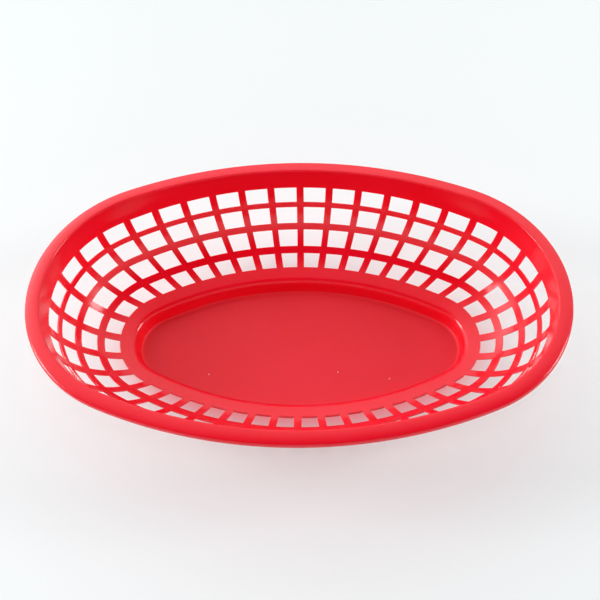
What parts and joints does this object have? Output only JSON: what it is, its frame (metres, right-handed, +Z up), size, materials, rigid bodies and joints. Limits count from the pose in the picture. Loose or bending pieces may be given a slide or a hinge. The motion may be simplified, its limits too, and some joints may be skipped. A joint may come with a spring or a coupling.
{
  "type": "fast food basket",
  "caption": "Oval one-piece plastic serving basket with a flat sunk floor, a curved lattice wall of square windows and a flanged rim.",
  "frame": {"origin": "on the table, under the middle of the floor", "axes": "+X along the length, +Y across the width, +Z up through the open top"},
  "size_m": [0.235, 0.147, 0.0522],
  "materials": {
    "red_plastic": "gloss"
  },
  "bodies": {
    "root": {"basket": "red_plastic"}
  },
  "joints": []
}
